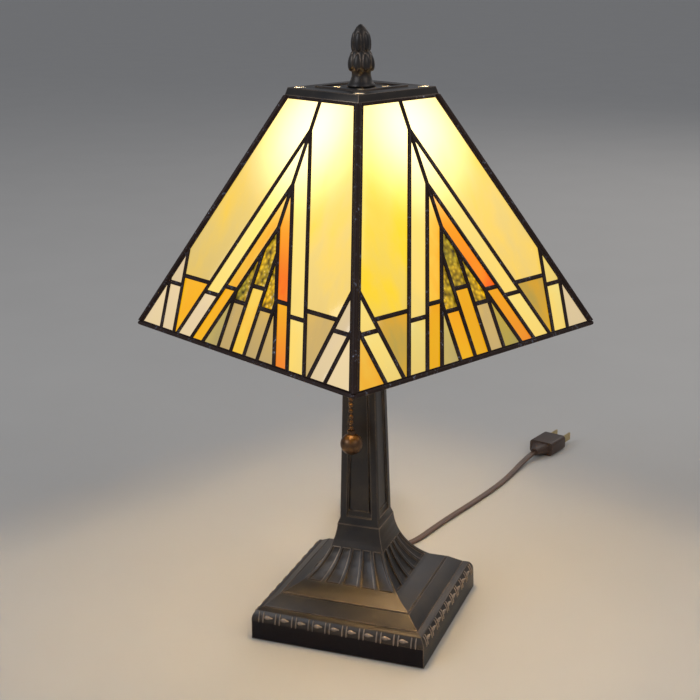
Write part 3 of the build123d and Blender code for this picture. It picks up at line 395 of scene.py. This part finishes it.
# ---------------------------------------------------------------- lampholder
# A brassed shell and cap enclose an insulating card, a porcelain core and a rolled screw shell.
# A spout on the side carries the pull chain away from the socket, past a quarter-turn drum.
socket_metal = plain_finish(
    "socket_brass", (0.46, 0.32, 0.13), (0.6, 0.43, 0.19), 130, 0.34, metal=1.0, stretch=(1.0, 1.0, 0.3)
)
for name, width in (("socket_cap", 0.35), ("socket_shell", 0.2), ("chain_spout", 0.25)):
    piece = new_piece(name + "_brass", node_copy(name), socket_metal, "lamp_base", "socket_brass", name)
    soften(piece, width * MM, angle=35)
paint(plain_finish("liner_card", (0.3, 0.22, 0.14), (0.4, 0.31, 0.2), 900, 0.9, bump=0.4), "socket_liner")
paint(
    plain_finish("porcelain", (0.72, 0.7, 0.64), (0.8, 0.78, 0.73), 90, 0.22, bump=0.05, coat=0.6),
    "socket_core", "bulb_insulator",
)
rolled_metal = plain_finish("rolled_aluminium", (0.55, 0.55, 0.54), (0.7, 0.7, 0.68), 300, 0.3, metal=1.0)
paint(rolled_metal, "screw_shell", "bulb_cap")
paint(socket_metal, "centre_contact")
paint(plain_finish("phenolic", (0.02, 0.012, 0.01), (0.05, 0.028, 0.02), 500, 0.4, coat=0.2), "switch_drum")

# ---------------------------------------------------------------- pull chain
# Brass bead chain in an antique finish hangs from the spout: a short length, a bell coupling and
# a longer length that ends in a turned ball. The ball is what a hand takes hold of.
antique = Finish("antique_brass")
tarnish = antique.noise(150.0, 5.0)
antique_edge = antique.worn_edge(0.6 * MM, 0.01, 0.25)
antique_brass = antique.surface(
    Base_Color=antique.mix(
        tarnish.between(0.3, 0.66) + 0.5 * antique_edge, (0.075, 0.043, 0.026), (0.24, 0.135, 0.07)
    ),
    Metallic=0.9, Roughness=0.26 + 0.2 * tarnish, Normal=antique.bump(tarnish, 0.12, 0.3 * MM),
)
paint(antique_brass, "chain_upper", "chain_coupling", "chain_lower", "ball_pull")

# ---------------------------------------------------------------- bulb
# A frosted bulb, lit a warm white. Its glass is cemented into a rolled screw cap, and the glow
# on every piece of glass in the shade is worked out from the bulb's middle.
bulb_middle = Vector((0.0, 0.0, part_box("bulb_glass")[1][2] - 0.026))
frosted = Finish("frosted_bulb")
frosting = frosted.noise(700.0, 2.0)
paint(
    frosted.surface(
        Base_Color=frosted.mix(frosting, (0.9, 0.86, 0.78), (0.96, 0.92, 0.86)), Roughness=0.35,
        Emission_Color=frosted.mix(frosting, (1.0, 0.72, 0.4), (1.0, 0.77, 0.46)), Emission_Strength=90.0,
    ),
    "bulb_glass",
)
paint(plain_finish("tin_solder", (0.4, 0.4, 0.4), (0.55, 0.55, 0.54), 500, 0.35, metal=1.0), "bulb_contact")
paint(plain_finish("tungsten", (0.8, 0.5, 0.25), (0.9, 0.6, 0.35), 500, 0.5, metal=0.5), "bulb_filament")

# ---------------------------------------------------------------- art glass
# Each side is cut from sheets of rolled opalescent glass, and no two pieces have the same streaks.
# The hammered gold glass is clear enough to sparkle, and the others glow evenly.
side_turn = math.radians(-27.33)
shade_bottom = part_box("bottom_rim")[0][2]
lamp_gain = 4.0
hot_glass = (0.85, 0.7, 0.36)
# Each sheet's colour with the lamp behind it: at the top of a pane, at its foot, and in its streaks.
glass_sheets = {
    "cream": ((1.0, 0.72, 0.17), (0.86, 0.62, 0.19), (0.98, 0.64, 0.09)),
    "sunny": ((1.0, 0.72, 0.06), (0.86, 0.6, 0.1), (1.0, 0.62, 0.012)),
    "pale": ((1.0, 0.8, 0.24), (0.95, 0.69, 0.18), (1.0, 0.7, 0.15)),
    "ivory": ((0.92, 0.7, 0.37), (0.84, 0.66, 0.36), (0.78, 0.6, 0.36)),
    "honey": ((1.0, 0.66, 0.1), (1.0, 0.6, 0.05), (0.95, 0.4, 0.015)),
    "amber": ((1.0, 0.48, 0.008), (0.98, 0.5, 0.006), (0.93, 0.37, 0.004)),
    "orange": ((1.0, 0.52, 0.02), (1.0, 0.1, 0.004), (1.0, 0.3, 0.006)),
    "flame": ((1.0, 0.46, 0.006), (1.0, 0.24, 0.02), (1.0, 0.38, 0.008)),
    "tan": ((0.76, 0.48, 0.1), (0.58, 0.41, 0.16), (0.53, 0.37, 0.14)),
    "hammered": ((0.95, 0.52, 0.006), (0.85, 0.46, 0.006), (0.34, 0.27, 0.02)),
    "ochre": ((0.84, 0.4, 0.01), (0.78, 0.42, 0.02), (0.48, 0.33, 0.06)),
    "smoke": ((0.42, 0.33, 0.12), (0.5, 0.38, 0.13), (0.56, 0.42, 0.11)),
    "olive": ((0.62, 0.4, 0.03), (0.46, 0.35, 0.06), (0.32, 0.27, 0.1)),
}
# For each kind of pane: the sheets of its left and right pieces on one side, then on the next.
glass_choice = {
    "field_panes": ("cream_glass", ("cream", "cream"), ("sunny", "cream")),
    "cream_long_panes": ("cream_glass", ("pale", "pale"), ("pale", "pale")),
    "cream_short_panes": ("cream_glass", ("ivory", "pale"), ("pale", "pale")),
    "side_panes": ("cream_glass", ("ivory", "ivory"), ("pale", "pale")),
    "corner_panes": ("cream_glass", ("ivory", "ivory"), ("honey", "ivory")),
    "amber_long_panes": ("amber_glass", ("honey", "orange"), ("honey", "orange")),
    "amber_short_panes": ("amber_glass", ("amber", "flame"), ("amber", "flame")),
    "inner_amber_panes": ("amber_glass", ("tan", "tan"), ("amber", "tan")),
    "heart_amber_panes": ("amber_glass", ("honey", "honey"), ("amber", "amber")),
    "field_foot_panes": ("amber_glass", ("amber", "tan"), ("ochre", "ochre")),
    "heart_gold_panes": ("gold_glass", ("hammered", "hammered"), ("hammered", "hammered")),
    "inner_gold_panes": ("gold_glass", ("hammered", "hammered"), ("hammered", "hammered")),
    "olive_panes": ("olive_glass", ("smoke", "tan"), ("smoke", "olive")),
}


def lit_glass(name, hammered=False):
    """Opalescent glass with the lamp on: brightest nearest the bulb, and streaked along the pane."""
    finish = Finish(name)
    body = finish.node("Attribute", attribute_name="glass_body", output="Color")
    streak = finish.node("Attribute", attribute_name="glass_streak", output="Color")
    seed = finish.node("Attribute", attribute_name="glass_seed", output="Vector")
    shifted = finish.node("VectorMath", {0: finish.place((1.0, 1.0, 0.3)), 1: seed}, operation="ADD")
    streaks = finish.noise(46.0, 5.0, shifted)
    wisps = finish.noise(170.0, 3.0, shifted)
    tint = finish.mix(streaks.between(0.4, 0.68), body, streak)
    place = finish.place()
    reach = finish.node(
        "VectorMath", {0: place, 1: tuple(bulb_middle)}, output="Value", operation="DISTANCE"
    )
    spread = 0.72 + 0.4 * ((0.056 / reach) ** 0.9)
    near = (1 - reach.between(0.04, 0.08)) ** 2.6
    cloudy = 0.86 + 0.28 * streaks
    if hammered:
        cells = finish.node(
            "TexVoronoi", {"Vector": place, "Scale": 420.0}, feature="SMOOTH_F1", output="Distance"
        )
        cloudy = cloudy * (1.35 - 1.3 * cells.between(0.1, 0.75))
        relief = finish.bump(1 - cells, 0.9, 0.7 * MM)
        rough = 0.1
    else:
        relief = finish.bump(streaks * 0.5 + 0.25 * wisps, 0.22, 1.2 * MM)
        rough = 0.14
    shine = finish.node("CombineColor", {0: cloudy * spread, 1: cloudy * spread, 2: cloudy * spread})
    lit = finish.mix(1.0, tint, shine, blend="MULTIPLY")
    soft = finish.mix(1.0, lit, (1 / lamp_gain,) * 3, blend="MULTIPLY")
    glow = finish.mix(near * (0.15 if hammered else 0.8), soft, hot_glass)
    return finish.surface(
        Base_Color=finish.mix(1.0, tint, (0.16, 0.16, 0.18), blend="MULTIPLY"), Normal=relief,
        Roughness=rough + 0.08 * wisps, Emission_Color=glow, Emission_Strength=lamp_gain, Coat_Weight=0.2,
    )


def islands(mesh):
    """The separate pieces of a mesh, each as a list of its vertices."""
    left = set(mesh.verts)
    while left:
        reached = [left.pop()]
        for vert in reached:
            for edge in vert.link_edges:
                other = edge.other_vert(vert)
                if other in left:
                    left.remove(other)
                    reached.append(other)
        yield reached


def middle_of(pane):
    """The middle of a pane's vertices."""
    return sum((vert.co for vert in pane), Vector()) / len(pane)


random.seed(27)
glass_finishes = {
    slot: lit_glass(slot, hammered=slot == "gold_glass")
    for slot in ("cream_glass", "amber_glass", "gold_glass", "olive_glass")
}
for name, (slot, first_side, second_side) in glass_choice.items():
    panes = node_copy(name)
    layers = [panes.verts.layers.float_color.new(layer) for layer in ("glass_body", "glass_streak")]
    seed_layer = panes.verts.layers.float_vector.new("glass_seed")
    found = sorted(islands(panes), key=lambda pane: tuple(round(value, 4) for value in middle_of(pane)))
    for pane in found:
        middle = middle_of(pane)
        heading = math.atan2(middle.y, middle.x) + math.pi / 2 - side_turn
        side = round(heading / (math.pi / 2)) % 4
        angle = side_turn + side * math.pi / 2
        across = middle.x * math.cos(angle) + middle.y * math.sin(angle)
        sheets = first_side if side % 2 == 0 else second_side
        head, foot, streak = glass_sheets[sheets[0 if across < 0 else 1]]
        heights = [vert.co.z for vert in pane]
        low, tall = min(heights), max(heights) - min(heights)
        tone = random.uniform(0.88, 1.08)
        seed = Vector((random.random(), random.random(), random.random()))
        for vert in pane:
            climb = (vert.co.z - low) / tall
            body = [foot_part + climb * (head_part - foot_part) for foot_part, head_part in zip(foot, head)]
            for layer, colour in zip(layers, (body, streak)):
                vert[layer] = (*(min(1.0, c * tone) for c in colour), 1.0)
            vert[seed_layer] = seed
    glass = new_piece(name.replace("panes", "glass"), panes, glass_finishes[slot], "shade", slot, name)
    soften(glass, 0.25 * MM)

# ---------------------------------------------------------------- solder
# The panes are wrapped in copper foil and soldered on both faces, and the solder is darkened
# with patina. Its lines are rounded, a little uneven, and swell where they meet.
patina = Finish("patinated_solder")
mottle = patina.noise(120.0, 4.0)
fine = patina.noise(620.0, 3.0)
# Patches where bare solder shows through the patina, coloured bluish-silver as a painted reflection of window
# light.
bare_and_glint = fine.between(0.55, 0.7) * mottle.between(0.5, 0.62)
solder = patina.surface(
    Base_Color=patina.mix(
        bare_and_glint * 0.8, patina.mix(mottle, (0.016, 0.009, 0.008), (0.055, 0.026, 0.018)), (0.26, 0.29, 0.37)
    ),
    Metallic=0.1 + 0.8 * bare_and_glint, Roughness=0.52 - 0.25 * bare_and_glint, Specular_IOR_Level=0.25,
    Normal=patina.bump(fine + 1.5 * mottle, 0.35, 0.5 * MM),
)
shade_low_half, shade_high_half, shade_rise = 101.6 * MM, 32.5 * MM, 142.1 * MM
slope_length = math.hypot(shade_rise, shade_low_half - shade_high_half)
glass_stack = 3.4 * MM


def side_frame(side):
    """The frame of one side of the shade: X across it, Y up its slope, Z out of it."""
    angle = side_turn + side * math.pi / 2
    across = Vector((math.cos(angle), math.sin(angle), 0.0))
    out = Vector((math.sin(angle), -math.cos(angle), 0.0))
    slope = (-out * (shade_low_half - shade_high_half) + Vector((0, 0, shade_rise))) / slope_length
    normal = across.cross(slope)
    origin = out * shade_low_half + Vector((0, 0, shade_bottom))
    turn = Matrix((across, slope, normal)).transposed().to_4x4()
    return Matrix.Translation(origin) @ turn


for side, name in enumerate(("front", "right", "back", "left")):
    web = node_copy("solder_web_" + name)
    face = side_frame(side)
    flat = face.inverted()
    places = {vert: flat @ vert.co for vert in web.verts}
    for depth in (0.0, -glass_stack):
        rim = [
            edge for edge in web.edges
            if all(abs(places.get(v, flat @ v.co).z - depth) < 0.02 * MM for v in edge.verts)
            and len(edge.link_faces) == 2 and edge.calc_face_angle(0.0) > 0.8
        ]
        bevel_edges(web, rim, 0.5 * MM, 3)
    joints = {}
    for vert in web.verts:
        spot = flat @ vert.co
        if abs(spot.z) < 0.02 * MM:
            joints.setdefault((round(spot.x / (4.5 * MM)), round(spot.y / (4.5 * MM))), []).append(spot)
    blobs = [sum(group, Vector()) / len(group) for group in joints.values() if len(group) >= 5]
    for spot in blobs:
        size = random.uniform(1.3, 1.7) * MM
        if spot.y > 2.2 * MM:
            level = Matrix.Translation(Vector((spot.x, spot.y, -0.35 * MM)))
            lump(web, face @ level, (size, size * random.uniform(0.8, 1.2), 0.75 * MM), 12, 8)
    new_piece("solder_" + name, web, solder, "shade", "solder", "solder_web_" + name)

for name, width in (("corner_seams", 0.3), ("bottom_rim", 0.9)):
    bars = node_copy(name)
    bar_name = name.replace("seams", "solder").replace("rim", "solder")
    piece = new_piece(bar_name, bars, solder, "shade", "solder", name)
    soften(piece, width * MM, segments=3)

# ---------------------------------------------------------------- shade cap
# A pressed steel cap with eight vent holes and a stiffening ridge hangs the shade on the harp's
# stud. Only its outside is bronzed, and the bulb lights the bare steel inside and in the holes.
cap_mesh = node_copy("shade_cap")
cap_plate_top = 348.0 * MM
vent_radius = 3.25 * MM
vent_reaches = (25.9 * MM, 10.9 * MM)
vent_places = [Vector((x * reach, y * reach)) for reach in vent_reaches for x in (-1, 1) for y in (-1, 1)]
unturn = Matrix.Rotation(-side_turn, 2)
for face in cap_mesh.faces:
    middle = face.calc_center_median()
    flat = unturn @ middle.xy
    in_vent = any((flat - place).length < vent_radius + 0.1 * MM for place in vent_places)
    inward = face.normal.z < -0.5 or face.normal.xy.dot(middle.xy) < -0.2 * middle.xy.length
    below = all(vert.co.z < cap_plate_top + 0.05 * MM for vert in face.verts)
    if abs(face.normal.z) < 0.5 and in_vent or inward and below:
        face.material_index = 1
cap = new_piece("shade_top", cap_mesh, cast_bronze, "shade", "bronze_casting", "shade_cap")
bare_steel = plain_finish("bare_steel", (0.62, 0.6, 0.56), (0.7, 0.68, 0.64), 300, 0.5, metal=0.4)
cap.data.materials.append(bare_steel)
soften(cap, 0.5 * MM)

# ---------------------------------------------------------------- finial
# A cast finial shaped like a bud screws down onto the stud over the cap. Four rows of leaves
# overlap up its length, and the lower two flare out over a turned neck.
finial_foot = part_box("finial")[0][2]
bud_outline = [
    (0.0, 14.0), (3.25, 14.0), (3.25, 0.0), (8.0, 0.0), (8.45, 0.4), (8.45, 1.2), (7.6, 2.2), (6.4, 4.2),
    (5.75, 6.4), (5.7, 8.4), (6.6, 10.0), (7.1, 12.6), (6.6, 16.0), (5.4, 19.0), (5.0, 20.8), (5.5, 23.0),
    (5.75, 25.5), (5.4, 28.5), (4.3, 31.8), (2.7, 34.5), (1.2, 35.9), (0.0, 36.3),
]


def turned(outline, foot, steps=48):
    """A lathe-turned bmesh from (radius, height) pairs in millimetres, standing on foot."""
    mesh = bmesh.new()
    verts = [mesh.verts.new((radius * MM, 0.0, foot + height * MM)) for radius, height in outline]
    edges = [mesh.edges.new(pair) for pair in zip(verts, verts[1:])]
    bmesh.ops.spin(
        mesh, geom=verts + edges, cent=(0, 0, 0), axis=(0, 0, 1), angle=2 * math.pi, steps=steps,
        use_merge=True,
    )
    bmesh.ops.remove_doubles(mesh, verts=mesh.verts, dist=0.01 * MM)
    bmesh.ops.recalc_face_normals(mesh, faces=mesh.faces)
    return mesh


bud = turned(bud_outline, finial_foot)
# Each row: how many leaves, their distance from the axis, their middle height, lean in degrees and
# half axes, and how far the row is turned, in leaves.
leaf_rows = (
    (8, 6.2, 14.4, 9, (2.7, 2.0, 5.2), 0.0),
    (8, 5.5, 15.8, 8, (2.4, 1.8, 5.4), 0.5),
    (6, 4.45, 26.2, 5, (2.5, 1.65, 5.8), 0.0),
    (6, 3.6, 28.2, 12, (2.3, 1.6, 6.0), 0.5),
)
for count, reach, height, lean, half_axes, offset in leaf_rows:
    for leaf in range(count):
        spin = Matrix.Rotation((leaf + offset) * 2 * math.pi / count, 4, "Z")
        stand = Matrix.Translation((0.0, -reach * MM, finial_foot + height * MM))
        tilt = Matrix.Rotation(math.radians(-lean), 4, "X")
        lump(bud, spin @ stand @ tilt, tuple(axis * MM for axis in half_axes), 14, 10)
new_piece("bud_finial", bud, cast_bronze, "finial", "bronze_casting", "finial")

# ---------------------------------------------------------------- flex
# 1.8 m of brown flat twin flex. It leaves the back of the foot through a bushing, is folded into
# a tied hank behind the lamp, and the rest of it runs across the table to its plug.
flex_start = [(-12.0, 78.2, 7.0), (-13.0, 89.0, 10.0), (-20.0, 101.0, 15.0)]
flex_run = [
    (-18.5, 92.5, 1.4), (-7.2, 102.0, 1.4), (-0.4, 115.5, 1.4), (4.2, 135.0, 1.4), (10.5, 160.0, 1.4),
    (19.4, 190.0, 1.4), (26.0, 214.0, 1.4), (32.5, 242.0, 1.4), (36.0, 266.0, 1.4), (39.5, 287.5, 3.6),
    (45.0, 306.0, 6.0),
]
hank_middle = Vector((-48.8, 130.1))
hank_bearing = math.radians(110.56)
hank_out = Vector((math.cos(hank_bearing), math.sin(hank_bearing)))
hank_side = Vector((hank_out.y, -hank_out.x))
hank_fold = 15.6
hank_run = 30.8
hank_waist = 7.4
strand_height = 2.6
turn_steps = 16
hank_turns = 7


def hank_place(step):
    """Where a turn of the hank is at one of its steps: along the hank, and across it."""
    if step < 3:
        return (hank_run * (step - 1) * 0.8, hank_waist if step == 1 else hank_fold - 1.0)
    if step < 8:
        angle = math.radians(15 + 37.5 * (step - 3))
        return (hank_run + hank_fold * math.sin(angle), hank_fold * math.cos(angle))
    if step < 11:
        return (-hank_run * (step - 9) * 0.8, -hank_waist if step == 9 else 1.0 - hank_fold)
    angle = math.radians(195 + 37.5 * (step - 11))
    return (-hank_run + hank_fold * math.sin(angle), hank_fold * math.cos(angle))


hank = []
for turn in range(hank_turns):
    for step in range(turn_steps):
        if turn == hank_turns - 1 and step > 12:
            continue
        along, across = hank_place(step)
        slack = 0.6 * math.sin(2.3 * turn + 0.9 * step)
        spot = hank_middle + hank_out * (along + slack) + hank_side * (across + 0.4 * math.sin(1.7 * turn))
        level = 1.4 + strand_height * (hank_turns - 0.25 - turn - step / turn_steps)
        hank.append((spot.x, spot.y, max(level, 1.4)))


def flex_curve(name, section=None):
    """The flex's line as a NURBS curve, bare or with a section swept along it."""
    curve = bpy.data.curves.new(name, "CURVE")
    curve.dimensions = "3D"
    curve.twist_mode = "Z_UP"
    spline = curve.splines.new("NURBS")
    points = flex_start + hank + flex_run
    spline.points.add(len(points) - 1)
    for point, place in zip(spline.points, points):
        point.co = (*(value * MM for value in place), 1.0)
    spline.order_u = 3
    spline.use_endpoint_u = True
    spline.resolution_u = 5
    if section:
        curve.bevel_mode = "OBJECT"
        curve.bevel_object = section
        curve.use_fill_caps = True
    made = bpy.data.objects.new(name, curve)
    bpy.context.scene.collection.objects.link(made)
    bpy.context.view_layer.update()
    mesh = bpy.data.meshes.new_from_object(made.evaluated_get(bpy.context.evaluated_depsgraph_get()))
    bpy.data.objects.remove(made)
    return mesh


section_curve = bpy.data.curves.new("twin_section", "CURVE")
section_curve.dimensions = "2D"
section_line = section_curve.splines.new("POLY")
lobe = 1.3
lobe_steps = range(-140, 141, 28)
outline = [(lobe + lobe * math.cos(math.radians(a)), lobe * math.sin(math.radians(a))) for a in lobe_steps]
outline += [(-x, -y) for x, y in outline]
section_line.points.add(len(outline) - 1)
for point, (x, y) in zip(section_line.points, outline):
    point.co = (x * MM, y * MM, 0.0, 1.0)
section_line.use_cyclic_u = True
section = bpy.data.objects.new("twin_section", section_curve)
bpy.context.scene.collection.objects.link(section)
centre_line = [tuple(vert.co) for vert in flex_curve("flex_line").vertices]
flex_mesh = bmesh.new()
flex_mesh.from_mesh(flex_curve("flex_tube", section))
bpy.data.objects.remove(section)
bmesh.ops.remove_doubles(flex_mesh, verts=flex_mesh.verts, dist=0.001 * MM)
bmesh.ops.recalc_face_normals(flex_mesh, faces=flex_mesh.faces)
brown_vinyl = plain_finish(
    "brown_vinyl", (0.085, 0.045, 0.028), (0.13, 0.072, 0.046), 210, 0.42, bump=0.12, coat=0.1
)
flex = new_piece(
    "flex", flex_mesh, brown_vinyl, "lamp_base", "brown_cord", "cord_start", "cord_hank", "power_cord"
)

# ---------------------------------------------------------------- flex fittings
# A tapered vinyl bushing holds the flex in the foot, a paper-covered wire tie holds the hank, and
# the plug is moulded onto the end with a ribbed strain relief.
moulded_vinyl = plain_finish(
    "moulded_vinyl", (0.045, 0.026, 0.018), (0.075, 0.043, 0.03), 900, 0.45, bump=0.2
)
for name, width in (("cord_bushing", 0.4), ("plug_body", 1.1)):
    moulding = name.replace("cord", "flex") + "_moulding"
    piece = new_piece(moulding, node_copy(name), moulded_vinyl, "lamp_base", "brown_plastic", name)
    soften(piece, width * MM, segments=3)
paint(brown_vinyl, "lead_wire")
paint(plain_finish("plug_brass", (0.55, 0.42, 0.2), (0.66, 0.52, 0.28), 300, 0.3, metal=1.0), "plug_blades")

tie = bmesh.new()
tie_half = Vector((4.0, 12.9, 10.3)) * MM
tie_place = Matrix.Translation((hank_middle.x * MM, hank_middle.y * MM, tie_half.z))
tie_frame = tie_place @ Matrix.Rotation(hank_bearing, 4, "Z")
bmesh.ops.create_cube(tie, size=2.0, matrix=tie_frame @ Matrix.Diagonal((*tie_half, 1.0)))
along_hank = hank_out.to_3d()
ends = [face for face in tie.faces if abs(face.normal.normalized() @ along_hank) > 0.9]
bmesh.ops.delete(tie, geom=ends, context="FACES_ONLY")
long_edges = [
    edge for edge in tie.edges
    if abs((edge.verts[0].co - edge.verts[1].co).normalized() @ along_hank) > 0.9
]
bevel_edges(tie, long_edges, 3.0 * MM, 4)
tie_piece = new_piece(
    "hank_tie", tie, plain_finish("paper_tie", (0.02, 0.02, 0.02), (0.05, 0.05, 0.05), 1500, 0.8, bump=0.4),
    "lamp_base", "tie_band", "cord_tie",
)
wall = tie_piece.modifiers.new("wall", "SOLIDIFY")
wall.thickness = 0.7 * MM

# ---------------------------------------------------------------- camera, table and light
# A plain pale table top under soft light from a large window on the left and a weaker one on the
# right, with the lamp switched on.
camera_data = bpy.data.cameras.new("camera")
camera_data.lens = 67.79
camera_data.sensor_width = 36.0
camera = bpy.data.objects.new("camera", camera_data)
bpy.context.scene.collection.objects.link(camera)
view_right = Vector((0.93755, 0.34761, -0.01273))
view_up = Vector((-0.09103, 0.28051, 0.95552))
view_back = Vector((0.33572, -0.89470, 0.29464))
turn = Matrix((view_right, view_up, view_back)).transposed().to_4x4()
camera.matrix_world = Matrix.Translation(Vector((0.27105, -0.74771, 0.42946))) @ turn
bpy.context.scene.camera = camera

table_mesh = bmesh.new()
bmesh.ops.create_grid(table_mesh, x_segments=1, y_segments=1, size=16.0)
table_data = bpy.data.meshes.new("table_top")
table_mesh.to_mesh(table_data)
table_mesh.free()
table_top = bpy.data.objects.new("table_top", table_data)
bpy.context.scene.collection.objects.link(table_top)
pale = Finish("pale_table")
table_data.materials.append(
    pale.surface(Base_Color=pale.mix(pale.noise(9.0), (0.6, 0.585, 0.56), (0.64, 0.625, 0.6)), Roughness=0.55)
)

bpy.context.scene.view_settings.view_transform = "Standard"
world = bpy.data.worlds.new("studio")
bpy.context.scene.world = world
world.use_nodes = True
world.node_tree.nodes["Background"].inputs["Color"].default_value = (0.8, 0.83, 0.9, 1)
world.node_tree.nodes["Background"].inputs["Strength"].default_value = 0.28
for name, place, size, power, colour in (
    ("window", (-1.3, -1.5, 1.5), 1.1, 13, (0.86, 0.92, 1.0)),
    ("room", (1.5, -0.5, 1.3), 0.9, 5, (1.0, 0.93, 0.84)),
    ("back", (0.4, 1.7, 1.5), 1.2, 8, (1.0, 0.95, 0.9)),
):
    light_data = bpy.data.lights.new(name, "AREA")
    light_data.size, light_data.energy, light_data.color = size, power, colour
    light = bpy.data.objects.new(name, light_data)
    bpy.context.scene.collection.objects.link(light)
    light.location = place
    light.rotation_euler = (Vector((0, 0, 0.15)) - Vector(place)).to_track_quat("-Z", "Y").to_euler()
